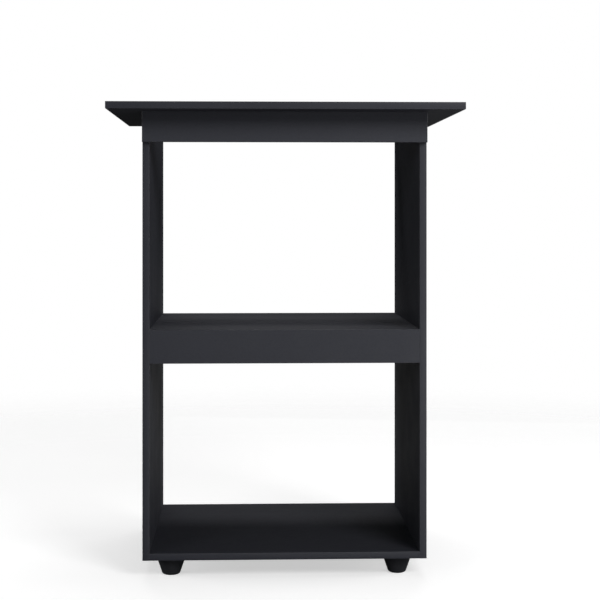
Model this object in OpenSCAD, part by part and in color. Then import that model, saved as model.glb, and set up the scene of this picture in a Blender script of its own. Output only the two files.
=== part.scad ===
// Open kitchen cabinet for a built-in hob, a microwave oven and a bench oven.
// Millimetres. The origin is on the floor under the middle of the worktop, +Z is up and the front faces -Y.

/* [Carcass] */
// Thickness of the side panels, shelf, base board, rails and fascia
board_t = 15; // [14:0.5:19]
// Width over the outer faces of the side panels
carcass_w = 610; // [540:1:900]
// Depth of the side panels
side_depth = 505; // [420:1:620]
// Height of the side panels
side_h = 960; // [860:1:1100]

/* [Worktop] */
// Thickness of the worktop
worktop_t = 15; // [15:0.5:30]
// How far the worktop passes the outer face of each side panel
side_overhang = 70; // [10:1:120]
// How far the worktop passes the front edges of the side panels
front_overhang = 95; // [30:1:160]
// Board left between each side panel and the hob cut-out
cutout_side_gap = 12.5; // [2:0.5:60]
// Board left between the fascia and the hob cut-out
cutout_front_gap = 15; // [5:1:80]
// Board left behind the hob cut-out
cutout_back_strip = 40; // [30:1:90]
// Corner radius of the hob cut-out
cutout_r = 10; // [3:1:30]

/* [Fascia] */
// Height of the fascia under the worktop
fascia_h = 65; // [55:1:120]
// Height of the fascia's fittings above its lower edge
fascia_fitting_rise = 20; // [12:1:24]
// Distance from the fascia's fitting up to its dowel
fascia_dowel_step = 25; // [14:1:28]

/* [Shelf] */
// Height of the shelf's top above the lower ends of the side panels
shelf_h = 493; // [380:1:600]
// Depth of the front rail under the shelf's top
front_rail_h = 72; // [55:1:140]
// Depth of the rear rail under the shelf
rear_rail_h = 57; // [40:1:120]
// Depth of the rear rail under the worktop
top_rail_h = 35; // [34:1:80]
// Height of a rail's fitting above its lower edge
rail_fitting_rise = 12; // [10:0.5:14]
// Distance from a rail's upper edge down to its dowel
rail_dowel_drop = 8; // [7:0.5:9]

/* [Feet] */
// Height of a foot
foot_h = 40; // [32:1:56]
// Diameter of a foot where it meets the base board
foot_d = 65; // [54:1:76]
// Slope of a foot's flank from the vertical, in degrees
foot_taper = 19; // [10:0.5:24]
// Radius of a foot's rounded lower edge
foot_edge_r = 7; // [4:0.5:12]
// Wall of a foot's moulding
foot_wall = 2.5; // [2:0.1:4]
// Distance from a side panel's outer face to a foot's axis
foot_inset_x = 59; // [48:1:120]
// Distance from the front or back edge to a foot's axis
foot_inset_y = 50; // [34:1:68]
// Diameter of the screw's boss inside a foot
foot_boss_d = 15; // [14:0.5:18]
// Number of ribs inside a foot
foot_ribs = 6; // [3:1:8]
// Thickness of a rib inside a foot
foot_rib_t = 2; // [1.5:0.1:3]

/* [Foot screws] */
// Diameter of a foot's screw
screw_d = 4.5; // [3.5:0.1:5]
// Diameter of the screw's head
screw_head_d = 8.6; // [8:0.1:9.6]
// Height of the screw's head
screw_head_h = 3; // [2:0.1:4]
// How far the screw goes into the base board
screw_bite = 12; // [8:0.5:12.5]
// Board and plastic that the screw's head pulls on
foot_seat_h = 28; // [8:0.5:28]
// Diameter of the hole for the screw's head
foot_counterbore_d = 10; // [9.8:0.1:11]

/* [Edge bands] */
// Thickness of an edge band
band_t = 1; // [0.6:0.1:2]
// Radius of an edge band's outer corners
band_r = 0.5; // [0.2:0.1:0.5]

/* [Fittings] */
// Distance from a board's front or back edge to the nearest fitting
fitting_inset = 96; // [80:1:130]
// Distance from a fitting to the dowel beside it
dowel_step = 32; // [20:1:48]
// Diameter of a cam lock's pocket
cam_d = 15; // [14:0.5:15]
// Depth of a cam lock's pocket past the middle of its board
cam_past_mid = 5; // [4.6:0.1:5.4]
// Distance from the joint to the middle of a cam lock
cam_setback = 24; // [20:0.5:34]
// Diameter of the hole that leads a bolt to its cam lock
bolt_way_d = 8; // [7.6:0.1:9]
// Diameter of a cam bolt's thread
bolt_thread_d = 5; // [4:0.1:6]
// How far a cam bolt's thread goes into the joined board
bolt_bite = 11; // [8:0.5:12]
// Diameter of a cam bolt's shank
bolt_shank_d = 6; // [5:0.1:6.6]
// Diameter of the neck that a cam lock grips
bolt_neck_d = 4; // [3:0.1:4.6]
// Diameter of a cam bolt's head and collar
bolt_head_d = 7; // [6.6:0.1:7.2]
// Length of a cam bolt's head
bolt_head_len = 3; // [2:0.1:4]
// Length of a cam bolt's collar
bolt_collar_len = 2; // [1:0.1:4]
// Bevel at the tip of a cam bolt's thread
bolt_tip_bevel = 1; // [0.4:0.1:1.4]
// Width of the cross slot in a cam lock
slot_w = 2; // [1.2:0.1:2.4]
// Length of the cross slot in a cam lock
slot_len = 9; // [6:0.5:11]
// Depth of the cross slot in a cam lock
slot_depth = 2; // [1:0.1:2.4]
// Diameter of a cover cap
cap_d = 18; // [16.5:0.5:22]
// Thickness of a cover cap's disc
cap_t = 1; // [0.8:0.1:2]
// Length of a cover cap's plug
cap_plug_len = 1.8; // [1:0.1:2]

/* [Dowels] */
// Diameter of a dowel
dowel_d = 8; // [6:0.5:8]
// How far a dowel goes into a board's face
dowel_in_face = 10; // [7:0.5:12]
// How far a dowel goes into a board's edge
dowel_in_edge = 20; // [12:0.5:24]
// Bevel at a dowel's ends
dowel_bevel = 1; // [0.4:0.1:1.5]
// Distance of the outer dowels along a rail, the fascia and the shelf's front from the middle
row_dowel_x = 190; // [80:1:220]

/* [Hidden] */

// Cuts pass the faces that they open by this much
cut_past = 1;
// Free play of a pin in its hole, on the radius
pin_play = 0.1;
// Free play of a cam lock in its pocket, on the radius and at its bottom
cam_play = 0.1;
// Space left past the end of a dowel, bolt or screw
end_play = 0.5;
// How far a cam lock's face stays below the board's face
cam_sunk = 0.3;
// How far the way for a bolt's head reaches past the middle of its cam lock
head_way = 2.5;
// Free play of a cover cap's plug in the cross slot
plug_play = 0.1;
// Seam where two edge bands meet at a corner
band_seam = 0.1;
// Steps of a quarter turn on an edge band's corners and a foot's lower edge
band_steps = 3;
foot_steps = 8;

board_color = "#36373d";
band_color = "#3c3d44";
foot_color = "#1d1e21";
zinc_color = "#a9acb0";
steel_color = "#c2c4c6";
cap_color = "#2b2c30";
beech_color = "#c9a679";

outer_x = carcass_w / 2;
inner_x = outer_x - board_t;
inner_w = 2 * inner_x;
side_mid_x = outer_x - board_t / 2;
worktop_w = carcass_w + 2 * side_overhang;
worktop_d = side_depth + front_overhang;
back_y = worktop_d / 2;
front_y = back_y - side_depth;
worktop_front_y = -worktop_d / 2;
base_z = foot_h;
base_mid_z = base_z + board_t / 2;
side_top_z = base_z + side_h;
shelf_top_z = base_z + shelf_h;
shelf_z = shelf_top_z - board_t;
shelf_mid_z = shelf_top_z - board_t / 2;
shelf_front_y = front_y + board_t;
front_rail_z = shelf_top_z - front_rail_h;
front_rail_mid_y = front_y + board_t / 2;
rear_rail_z = shelf_z - rear_rail_h;
top_rail_z = side_top_z - top_rail_h;
rear_rail_y = back_y - board_t;
rear_rail_mid_y = back_y - board_t / 2;
fascia_z = side_top_z - fascia_h;
fascia_y = front_y - board_t;
fascia_mid_y = front_y - board_t / 2;
cutout_x = inner_x - cutout_side_gap;
cutout_front_y = front_y + cutout_front_gap;
cutout_back_y = back_y - cutout_back_strip;
foot_x = outer_x - foot_inset_x;
foot_front_y = front_y + foot_inset_y;
foot_back_y = back_y - foot_inset_y;

// Where the fittings and the dowels beside them stand along the depth of the side panels
fitting_ys = [front_y + fitting_inset, back_y - fitting_inset];
dowel_ys = [front_y + fitting_inset + dowel_step, back_y - fitting_inset - dowel_step];
row_xs = [-row_dowel_x, 0, row_dowel_x];
sides = [-1, 1];
// How the two arms of a cross slot are turned, in degrees
slot_turns = [45, 135];

up = [0, 0, 1];
down = [0, 0, -1];
to_front = [0, -1, 0];
to_back = [0, 1, 0];

// A joint is where two boards meet: its place in the middle of the edge, the way into the face of the other
// board, and for a cam lock the way out of its pocket. s is -1 for the left side panel and 1 for the right.
function across(s) = [s, 0, 0];
function end_joint(s, y, z, mouth) = [[s * inner_x, y, z], across(s), mouth];
function base_fittings(s) = [for (y = fitting_ys) end_joint(s, y, base_mid_z, down)];
function base_pegs(s) = [for (y = dowel_ys) end_joint(s, y, base_mid_z, down)];
function shelf_fittings(s) = [for (y = fitting_ys) end_joint(s, y, shelf_mid_z, down)];
function shelf_pegs(s) = [for (y = dowel_ys) end_joint(s, y, shelf_mid_z, down)];
function front_rail_fitting(s) = [end_joint(s, front_rail_mid_y, front_rail_z + rail_fitting_rise, to_back)];
function front_rail_peg(s) = [end_joint(s, front_rail_mid_y, shelf_top_z - rail_dowel_drop, to_back)];
function rear_rail_fitting(s) = [end_joint(s, rear_rail_mid_y, rear_rail_z + rail_fitting_rise, to_front)];
function rear_rail_peg(s) = [end_joint(s, rear_rail_mid_y, shelf_z - rail_dowel_drop, to_front)];
function top_rail_fitting(s) = [end_joint(s, rear_rail_mid_y, top_rail_z + rail_fitting_rise, to_front)];
function top_rail_peg(s) = [end_joint(s, rear_rail_mid_y, side_top_z - rail_dowel_drop, to_front)];
function worktop_fittings(s) = [for (y = fitting_ys) [[s * side_mid_x, y, side_top_z], up, across(-s)]];
function worktop_pegs(s) = [for (y = dowel_ys) [[s * side_mid_x, y, side_top_z], up, across(-s)]];
function fascia_joint(s, rise) = [[s * side_mid_x, front_y, fascia_z + rise], to_front, across(-s)];
function fascia_fitting(s) = [fascia_joint(s, fascia_fitting_rise)];
function fascia_peg(s) = [fascia_joint(s, fascia_fitting_rise + fascia_dowel_step)];

fascia_row = [for (x = row_xs) [[x, fascia_mid_y, side_top_z], up, to_back]];
top_rail_row = [for (x = row_xs) [[x, rear_rail_mid_y, side_top_z], up, to_front]];
rear_rail_row = [for (x = row_xs) [[x, rear_rail_mid_y, shelf_z], up, to_front]];
shelf_front_row = [for (x = row_xs) [[x, shelf_front_y, shelf_mid_z], to_front, down]];

all_base_fittings = concat(base_fittings(-1), base_fittings(1));
all_base_pegs = concat(base_pegs(-1), base_pegs(1));
all_shelf_fittings = concat(shelf_fittings(-1), shelf_fittings(1));
all_shelf_pegs = concat(shelf_pegs(-1), shelf_pegs(1));
all_worktop_fittings = concat(worktop_fittings(-1), worktop_fittings(1));
all_worktop_pegs = concat(worktop_pegs(-1), worktop_pegs(1));
all_fascia_fittings = concat(fascia_fitting(-1), fascia_fitting(1));
all_fascia_pegs = concat(fascia_peg(-1), fascia_peg(1));
front_rail_ends = concat(front_rail_fitting(-1), front_rail_fitting(1));
rear_rail_ends = concat(rear_rail_fitting(-1), rear_rail_fitting(1));
top_rail_ends = concat(top_rail_fitting(-1), top_rail_fitting(1));
front_rail_pegs = concat(front_rail_peg(-1), front_rail_peg(1));
rear_rail_pegs = concat(rear_rail_peg(-1), rear_rail_peg(1));
top_rail_pegs = concat(top_rail_peg(-1), top_rail_peg(1));
all_rail_fittings = concat(front_rail_ends, rear_rail_ends, top_rail_ends);
all_rail_pegs = concat(front_rail_pegs, rear_rail_pegs, top_rail_pegs);

// Sets children at a joint: their x runs into the other board's face and their z out of the pocket's mouth
module at_joint(joint) {
  place = joint[0];
  way = joint[1];
  mouth = joint[2];
  third = cross(mouth, way);
  multmatrix([
    [way[0], third[0], mouth[0], place[0]],
    [way[1], third[1], mouth[1], place[1]],
    [way[2], third[2], mouth[2], place[2]]
  ]) children();
}

// A round bar along x between two places
module bar(d, from, to) {
  translate([from, 0, 0]) rotate([0, 90, 0]) cylinder(h = to - from, d = d, $fn = 48);
}

// The pocket, the way for the bolt and the bolt's hole in the other board
module fitting_cuts(joints) {
  depth = cam_past_mid + board_t / 2;
  for (joint = joints) at_joint(joint) {
    translate([-cam_setback, 0, -cam_past_mid]) cylinder(h = depth + cut_past, d = cam_d, $fn = 64);
    bar(bolt_way_d, -cam_setback, 0);
    bar(bolt_thread_d + 2 * pin_play, -cut_past, bolt_bite + end_play);
  }
}

// The hole for a dowel, in both of its boards
module peg_cuts(joints) {
  for (joint = joints) at_joint(joint)
    bar(dowel_d + 2 * pin_play, -dowel_in_edge - end_play, dowel_in_face + end_play);
}

module cam_locks(joints) {
  height = cam_past_mid - cam_play + board_t / 2 - cam_sunk;
  color(zinc_color) for (joint = joints) at_joint(joint) translate([-cam_setback, 0, 0]) difference() {
    translate([0, 0, -cam_past_mid + cam_play]) cylinder(h = height, d = cam_d - 2 * cam_play, $fn = 64);
    bar(bolt_way_d, -head_way, cam_d);
    for (turn = slot_turns) rotate([0, 0, turn])
      translate([-slot_len / 2, -slot_w / 2, board_t / 2 - cam_sunk - slot_depth])
        cube([slot_len, slot_w, slot_depth + cut_past]);
  }
}

// A cam bolt as one turned outline: thread, collar, shank, neck and head
module cam_bolts(joints) {
  head_from = -cam_setback - bolt_head_len / 2;
  head_to = head_from + bolt_head_len;
  neck_to = -cam_setback + cam_d / 2;
  color(steel_color) for (joint = joints) at_joint(joint) rotate([0, 90, 0])
    rotate_extrude($fn = 48) polygon([
      [0, head_from],
      [bolt_head_d / 2, head_from],
      [bolt_head_d / 2, head_to],
      [bolt_neck_d / 2, head_to],
      [bolt_neck_d / 2, neck_to],
      [bolt_shank_d / 2, neck_to],
      [bolt_shank_d / 2, -bolt_collar_len],
      [bolt_head_d / 2, -bolt_collar_len],
      [bolt_head_d / 2, 0],
      [bolt_thread_d / 2, 0],
      [bolt_thread_d / 2, bolt_bite - bolt_tip_bevel],
      [bolt_thread_d / 2 - bolt_tip_bevel, bolt_bite],
      [0, bolt_bite]
    ]);
}

module dowels(joints) {
  r = dowel_d / 2;
  color(beech_color) for (joint = joints) at_joint(joint) rotate([0, 90, 0])
    rotate_extrude($fn = 48) polygon([
      [0, -dowel_in_edge],
      [r - dowel_bevel, -dowel_in_edge],
      [r, -dowel_in_edge + dowel_bevel],
      [r, dowel_in_face - dowel_bevel],
      [r - dowel_bevel, dowel_in_face],
      [0, dowel_in_face]
    ]);
}

// A cap lies on the board's face and plugs into the cam lock's cross slot
module cam_cover_caps() {
  plug = slot_w - 2 * plug_play;
  plug_len = slot_len - 2 * plug_play;
  color(cap_color) for (joint = concat(all_worktop_fittings, all_fascia_fittings)) at_joint(joint)
    translate([-cam_setback, 0, board_t / 2]) {
      cylinder(h = cap_t, d = cap_d, $fn = 64);
      for (turn = slot_turns) rotate([0, 0, turn])
        translate([-plug_len / 2, -plug / 2, -cap_plug_len]) cube([plug_len, plug, cap_plug_len]);
    }
}

// Outline of an edge band: flat on the board, its two outer corners round
function band_corner(side, t) = [
  for (i = [0 : band_steps]) let (a = side * 90 * (1 - i / band_steps))
    [band_t - band_r + band_r * cos(a), side * (t / 2 - band_r) + band_r * sin(a)]
];
function reversed(list) = [for (i = [len(list) - 1 : -1 : 0]) list[i]];

// An edge band of a board t thick: it starts at place, stands out along out and runs along way
module edge_band(place, out, way, length, t = board_t) {
  third = cross(way, out);
  color(band_color) multmatrix([
    [out[0], third[0], way[0], place[0]],
    [out[1], third[1], way[1], place[1]],
    [out[2], third[2], way[2], place[2]]
  ]) linear_extrude(height = length)
    polygon(concat([[0, -t / 2]], band_corner(-1, t), reversed(band_corner(1, t)), [[0, t / 2]]));
}

module cutout_hole() {
  w = 2 * cutout_x;
  d = cutout_back_y - cutout_front_y;
  h = worktop_t + 2 * cut_past;
  translate([-cutout_x, cutout_front_y, side_top_z - cut_past]) {
    translate([cutout_r, 0, 0]) cube([w - 2 * cutout_r, d, h]);
    translate([0, cutout_r, 0]) cube([w, d - 2 * cutout_r, h]);
    for (x = [cutout_r, w - cutout_r], y = [cutout_r, d - cutout_r])
      translate([x, y, 0]) cylinder(h = h, r = cutout_r, $fn = 64);
  }
}

module worktop() {
  color(board_color) difference() {
    translate([-worktop_w / 2 + band_t, worktop_front_y + band_t, side_top_z])
      cube([worktop_w - 2 * band_t, worktop_d - 2 * band_t, worktop_t]);
    cutout_hole();
    fitting_cuts(all_worktop_fittings);
    peg_cuts(concat(all_worktop_pegs, fascia_row, top_rail_row));
  }
}

module worktop_edge_bands() {
  z = side_top_z + worktop_t / 2;
  x = worktop_w / 2;
  short = worktop_d - 2 * (band_t + band_seam);
  edge_band([-x, worktop_front_y + band_t, z], to_front, across(1), worktop_w, worktop_t);
  edge_band([-x, back_y - band_t, z], to_back, across(1), worktop_w, worktop_t);
  for (s = sides)
    edge_band([s * (x - band_t), -short / 2, z], across(s), to_back, short, worktop_t);
}

module side_panel(s) {
  color(board_color) difference() {
    translate([s * side_mid_x - board_t / 2, front_y + band_t, base_z])
      cube([board_t, side_depth - 2 * band_t, side_h]);
    fitting_cuts(concat(worktop_fittings(s), fascia_fitting(s), shelf_fittings(s), base_fittings(s)));
    fitting_cuts(concat(front_rail_fitting(s), rear_rail_fitting(s), top_rail_fitting(s)));
    peg_cuts(concat(worktop_pegs(s), fascia_peg(s), shelf_pegs(s), base_pegs(s)));
    peg_cuts(concat(front_rail_peg(s), rear_rail_peg(s), top_rail_peg(s)));
  }
}

module side_edge_bands(s) {
  color(band_color) difference() {
    edge_band([s * side_mid_x, front_y + band_t, base_z], to_front, up, side_h);
    fitting_cuts(fascia_fitting(s));
    peg_cuts(fascia_peg(s));
  }
  edge_band([s * side_mid_x, back_y - band_t, base_z], to_back, up, side_h);
}

module left_side() { side_panel(-1); }
module right_side() { side_panel(1); }
module left_side_edge_bands() { side_edge_bands(-1); }
module right_side_edge_bands() { side_edge_bands(1); }

module base_board() {
  color(board_color) difference() {
    translate([-inner_x, front_y + band_t, base_z]) cube([inner_w, side_depth - 2 * band_t, board_t]);
    fitting_cuts(all_base_fittings);
    peg_cuts(all_base_pegs);
    for (x = sides, y = [foot_front_y, foot_back_y])
      translate([x * foot_x, y, base_z - cut_past])
        cylinder(h = cut_past + screw_bite + end_play, d = screw_d + 2 * pin_play, $fn = 48);
  }
}

module base_edge_bands() {
  edge_band([-inner_x, front_y + band_t, base_mid_z], to_front, across(1), inner_w);
  edge_band([-inner_x, back_y - band_t, base_mid_z], to_back, across(1), inner_w);
}

module shelf_board() {
  color(board_color) difference() {
    translate([-inner_x, shelf_front_y, shelf_z]) cube([inner_w, back_y - band_t - shelf_front_y, board_t]);
    fitting_cuts(all_shelf_fittings);
    peg_cuts(concat(all_shelf_pegs, shelf_front_row, rear_rail_row));
  }
}

module shelf_edge_band() {
  edge_band([-inner_x, back_y - band_t, shelf_mid_z], to_back, across(1), inner_w);
}

module front_rail() {
  color(board_color) difference() {
    translate([-inner_x, front_y, front_rail_z + band_t])
      cube([inner_w, board_t, front_rail_h - 2 * band_t]);
    fitting_cuts(front_rail_ends);
    peg_cuts(concat(front_rail_pegs, shelf_front_row));
  }
}

module front_rail_edge_bands() {
  edge_band([-inner_x, front_rail_mid_y, front_rail_z + band_t], down, across(1), inner_w);
  edge_band([-inner_x, front_rail_mid_y, shelf_top_z - band_t], up, across(1), inner_w);
}

module rear_shelf_rail() {
  color(board_color) difference() {
    translate([-inner_x, rear_rail_y, rear_rail_z + band_t])
      cube([inner_w, board_t, rear_rail_h - band_t]);
    fitting_cuts(rear_rail_ends);
    peg_cuts(concat(rear_rail_pegs, rear_rail_row));
  }
}

module rear_shelf_rail_edge_band() {
  edge_band([-inner_x, rear_rail_mid_y, rear_rail_z + band_t], down, across(1), inner_w);
}

module rear_top_rail() {
  color(board_color) difference() {
    translate([-inner_x, rear_rail_y, top_rail_z + band_t])
      cube([inner_w, board_t, top_rail_h - band_t]);
    fitting_cuts(top_rail_ends);
    peg_cuts(concat(top_rail_pegs, top_rail_row));
  }
}

module rear_top_rail_edge_band() {
  edge_band([-inner_x, rear_rail_mid_y, top_rail_z + band_t], down, across(1), inner_w);
}

module fascia() {
  color(board_color) difference() {
    translate([-outer_x + band_t, fascia_y, fascia_z + band_t])
      cube([carcass_w - 2 * band_t, board_t, fascia_h - band_t]);
    fitting_cuts(all_fascia_fittings);
    peg_cuts(concat(all_fascia_pegs, fascia_row));
  }
}

module fascia_edge_bands() {
  end_z = fascia_z + band_t + band_seam;
  edge_band([-outer_x, fascia_mid_y, fascia_z + band_t], down, across(1), carcass_w);
  for (s = sides)
    edge_band([s * (outer_x - band_t), fascia_mid_y, end_z], across(s), up, side_top_z - end_z);
}

// Half outline of a foot, set in by inset: a tapered flank that turns into the flat bottom
function flank_r(z, inset) = foot_d / 2 - inset / cos(foot_taper) - (foot_h - z) * tan(foot_taper);
function foot_outline(inset) =
  let (r = foot_edge_r - inset)
  let (mid_z = foot_edge_r)
  let (mid_r = flank_r(mid_z, inset) - r / cos(foot_taper))
  concat(
    [[0, mid_z - r]],
    [
      for (i = [0 : foot_steps]) let (a = -90 + (90 - foot_taper) * i / foot_steps)
        [mid_r + r * cos(a), mid_z + r * sin(a)]
    ],
    [[flank_r(foot_h, inset), foot_h], [0, foot_h]]
  );

// A hollow moulding, open against the base board, with a screw boss held by ribs
module foot(s, y) {
  color(foot_color) translate([s * foot_x, y, 0]) difference() {
    rotate_extrude($fn = 96) polygon(foot_outline(0));
    difference() {
      rotate_extrude($fn = 96) polygon(foot_outline(foot_wall));
      cylinder(h = foot_h, d = foot_boss_d, $fn = 64);
      for (i = [0 : foot_ribs - 1]) rotate([0, 0, 360 * i / foot_ribs])
        translate([0, -foot_rib_t / 2, 0]) cube([foot_d, foot_rib_t, foot_h]);
    }
    translate([0, 0, -cut_past]) {
      cylinder(h = foot_h - foot_seat_h + cut_past, d = foot_counterbore_d, $fn = 64);
      cylinder(h = foot_h + 2 * cut_past, d = screw_d + 2 * pin_play, $fn = 48);
    }
  }
}

module foot_front_left() { foot(-1, foot_front_y); }
module foot_front_right() { foot(1, foot_front_y); }
module foot_rear_left() { foot(-1, foot_back_y); }
module foot_rear_right() { foot(1, foot_back_y); }

// A screw with a domed head that pulls on the floor of the foot's counterbore
module foot_screws() {
  seat_z = foot_h - foot_seat_h;
  tip_z = foot_h + screw_bite;
  r = screw_d / 2;
  head_r = screw_head_d / 2;
  dome = [
    for (i = [0 : foot_steps]) let (a = 90 * i / foot_steps)
      [head_r * sin(a), seat_z - screw_head_h * cos(a)]
  ];
  color(steel_color) for (s = sides, y = [foot_front_y, foot_back_y]) translate([s * foot_x, y, 0])
    rotate_extrude($fn = 48) polygon(concat(dome, [[r, seat_z], [r, tip_z - 2 * r], [0, tip_z]]));
}

module worktop_cam_locks() { cam_locks(all_worktop_fittings); }
module worktop_cam_bolts() { cam_bolts(all_worktop_fittings); }
module fascia_cam_locks() { cam_locks(all_fascia_fittings); }
module fascia_cam_bolts() { cam_bolts(all_fascia_fittings); }
module shelf_cam_locks() { cam_locks(all_shelf_fittings); }
module shelf_cam_bolts() { cam_bolts(all_shelf_fittings); }
module base_cam_locks() { cam_locks(all_base_fittings); }
module base_cam_bolts() { cam_bolts(all_base_fittings); }
module rail_cam_locks() { cam_locks(all_rail_fittings); }
module rail_cam_bolts() { cam_bolts(all_rail_fittings); }
module worktop_dowels() { dowels(all_worktop_pegs); }
module fascia_dowels() { dowels(concat(all_fascia_pegs, fascia_row)); }
module shelf_dowels() { dowels(concat(all_shelf_pegs, shelf_front_row)); }
module base_dowels() { dowels(all_base_pegs); }
module rail_dowels() { dowels(concat(all_rail_pegs, rear_rail_row, top_rail_row)); }

worktop();
worktop_edge_bands();
left_side();
left_side_edge_bands();
right_side();
right_side_edge_bands();
base_board();
base_edge_bands();
shelf_board();
shelf_edge_band();
front_rail();
front_rail_edge_bands();
fascia();
fascia_edge_bands();
rear_top_rail();
rear_top_rail_edge_band();
rear_shelf_rail();
rear_shelf_rail_edge_band();
foot_front_left();
foot_front_right();
foot_rear_left();
foot_rear_right();
foot_screws();
worktop_cam_locks();
worktop_cam_bolts();
fascia_cam_locks();
fascia_cam_bolts();
shelf_cam_locks();
shelf_cam_bolts();
base_cam_locks();
base_cam_bolts();
rail_cam_locks();
rail_cam_bolts();
cam_cover_caps();
worktop_dowels();
fascia_dowels();
shelf_dowels();
base_dowels();
rail_dowels();
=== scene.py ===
import math

import bmesh
import bpy
from mathutils import Matrix, Vector


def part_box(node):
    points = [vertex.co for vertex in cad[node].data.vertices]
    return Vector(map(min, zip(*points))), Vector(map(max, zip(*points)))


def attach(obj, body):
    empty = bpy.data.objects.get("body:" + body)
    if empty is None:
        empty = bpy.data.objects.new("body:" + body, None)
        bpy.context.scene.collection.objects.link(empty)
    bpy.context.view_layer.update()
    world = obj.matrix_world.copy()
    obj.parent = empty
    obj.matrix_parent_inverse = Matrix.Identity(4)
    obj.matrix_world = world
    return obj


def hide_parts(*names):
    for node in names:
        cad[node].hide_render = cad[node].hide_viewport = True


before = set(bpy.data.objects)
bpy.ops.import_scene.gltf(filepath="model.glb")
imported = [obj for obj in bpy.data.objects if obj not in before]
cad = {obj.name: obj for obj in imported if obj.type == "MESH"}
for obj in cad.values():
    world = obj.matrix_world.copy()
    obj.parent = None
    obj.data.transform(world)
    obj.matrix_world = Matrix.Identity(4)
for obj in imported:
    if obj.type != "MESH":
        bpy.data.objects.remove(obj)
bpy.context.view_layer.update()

mm = 0.001
tiny = 1e-6                          # lengths that differ by less are the same
white = (1.0, 1.0, 1.0, 1.0)

# Camera, lights, floor and backdrop

cameraView = {
    "place": (-0.085, -3.1855, 0.7833),
    "turnRight": 2.0187,             # degrees
    "focalLength": 1390.22,          # in pixels, as are the next two
    "sightPoint": (294.37, 213.09),  # where the level line of sight meets the picture
    "pictureSide": 600,
    "sensor": 36.0,                  # width in millimetres
    "nearest": 0.05,
    "farthest": 60,
}


def addCamera():
    view = cameraView
    side = view["pictureSide"]
    turn = (math.radians(90), 0, -math.radians(view["turnRight"]))
    bpy.ops.object.camera_add(location=view["place"], rotation=turn)
    camera = bpy.context.object
    camera.name = "photo_camera"
    camera.data.sensor_width = view["sensor"]
    camera.data.lens = view["focalLength"] / side * view["sensor"]
    camera.data.shift_x = 0.5 - view["sightPoint"][0] / side
    camera.data.shift_y = view["sightPoint"][1] / side - 0.5
    camera.data.clip_start = view["nearest"]
    camera.data.clip_end = view["farthest"]
    bpy.context.scene.camera = camera


# Each light: place, the point it faces, width and height, power in watts
lights = {
    "key_softbox": {"place": (1.7, -2.9, 2.2), "aim": (0, 0, 0.7), "size": (1.4, 1.2), "power": 62},
    "fill_softbox": {"place": (-2.4, -2.8, 1.6), "aim": (0, 0, 0.7), "size": (1.4, 1.4), "power": 20},
    "bounce_card": {"place": (1.0, -2.2, 0.1), "aim": (0, -0.1, 1.0), "size": (1.8, 0.8), "power": 14},
    "near_card": {"place": (0.25, -1.2, 0.1), "aim": (0.04, -0.3, 1.0), "size": (1.8, 0.5), "power": 2},
    "top_softbox": {"place": (0.2, -0.2, 3.2), "aim": (0, 0, 0.5), "size": (1.8, 1.8), "power": 11},
    "rear_softbox": {"place": (0.0, 1.7, 3.4), "aim": (0, 0.3, 0.5), "size": (2.4, 0.8), "power": 36},
    "rear_card": {"place": (0.45, 2.1, 0.1), "aim": (0.15, 0.1, 0.9), "size": (1.6, 0.7), "power": 0.7},
    "left_softbox": {"place": (-3.2, 0.2, 0.75), "aim": (0, 0, 0.6), "size": (1.4, 0.9), "power": 38},
    "right_softbox": {"place": (3.2, 0.3, 0.75), "aim": (0, 0, 0.6), "size": (1.4, 0.9), "power": 42},
}


def addLights():
    for name, light in lights.items():
        place = Vector(light["place"])
        turn = (Vector(light["aim"]) - place).to_track_quat("-Z", "Y").to_euler()
        bpy.ops.object.light_add(type="AREA", location=place, rotation=turn)
        lamp = bpy.context.object
        lamp.name = name
        lamp.data.shape = "RECTANGLE"
        lamp.data.size, lamp.data.size_y = light["size"]
        lamp.data.energy = light["power"]


# A node with its inputs, each a value or another node's output, and its settings
def addNode(tree, kind, inputs=None, **settings):
    made = tree.nodes.new(kind)
    for field, value in settings.items():
        setattr(made, field, value)
    for socket, value in (inputs or {}).items():
        if isinstance(value, bpy.types.NodeSocket):
            tree.links.new(value, made.inputs[socket])
        else:
            made.inputs[socket].default_value = value
    return made


def newMaterial(name):
    material = bpy.data.materials.new(name)
    material.use_nodes = True
    tree = material.node_tree
    tree.nodes.clear()
    shader = addNode(tree, "ShaderNodeBsdfPrincipled")
    addNode(tree, "ShaderNodeOutputMaterial", {"Surface": shader.outputs["BSDF"]})
    place = addNode(tree, "ShaderNodeTexCoord").outputs["Object"]
    return material, tree, shader, place


def noise(tree, place, scale, detail, roughness=0.5):
    return addNode(tree, "ShaderNodeTexNoise", {
        "Vector": place, "Scale": scale, "Detail": detail, "Roughness": roughness}).outputs["Fac"]


def cells(tree, place, scale, feature="F1"):
    return addNode(tree, "ShaderNodeTexVoronoi", {"Vector": place, "Scale": scale}, feature=feature)


def stretch(tree, place, factors):
    return addNode(tree, "ShaderNodeMapping", {"Vector": place, "Scale": factors}).outputs["Vector"]


def remap(tree, value, fromRange, toRange, smooth=False):
    return addNode(tree, "ShaderNodeMapRange", {
        "Value": value, "From Min": fromRange[0], "From Max": fromRange[1],
        "To Min": toRange[0], "To Max": toRange[1],
    }, interpolation_type="SMOOTHSTEP" if smooth else "LINEAR").outputs["Result"]


# Spreads a noise, most of which lies between 0.3 and 0.7, over a range
def spread(tree, value, toRange):
    return remap(tree, value, (0.3, 0.7), toRange)


def arithmetic(tree, operation, first, second=0.0, third=0.0):
    return addNode(tree, "ShaderNodeMath", {0: first, 1: second, 2: third}, operation=operation).outputs[0]


# In a Mix node, inputs 2 and 3 and output 0 are numbers, and 6 and 7 and output 2 are colours
def mixValues(tree, amount, first, second):
    return addNode(tree, "ShaderNodeMix", {0: amount, 2: first, 3: second}, data_type="FLOAT").outputs[0]


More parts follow.
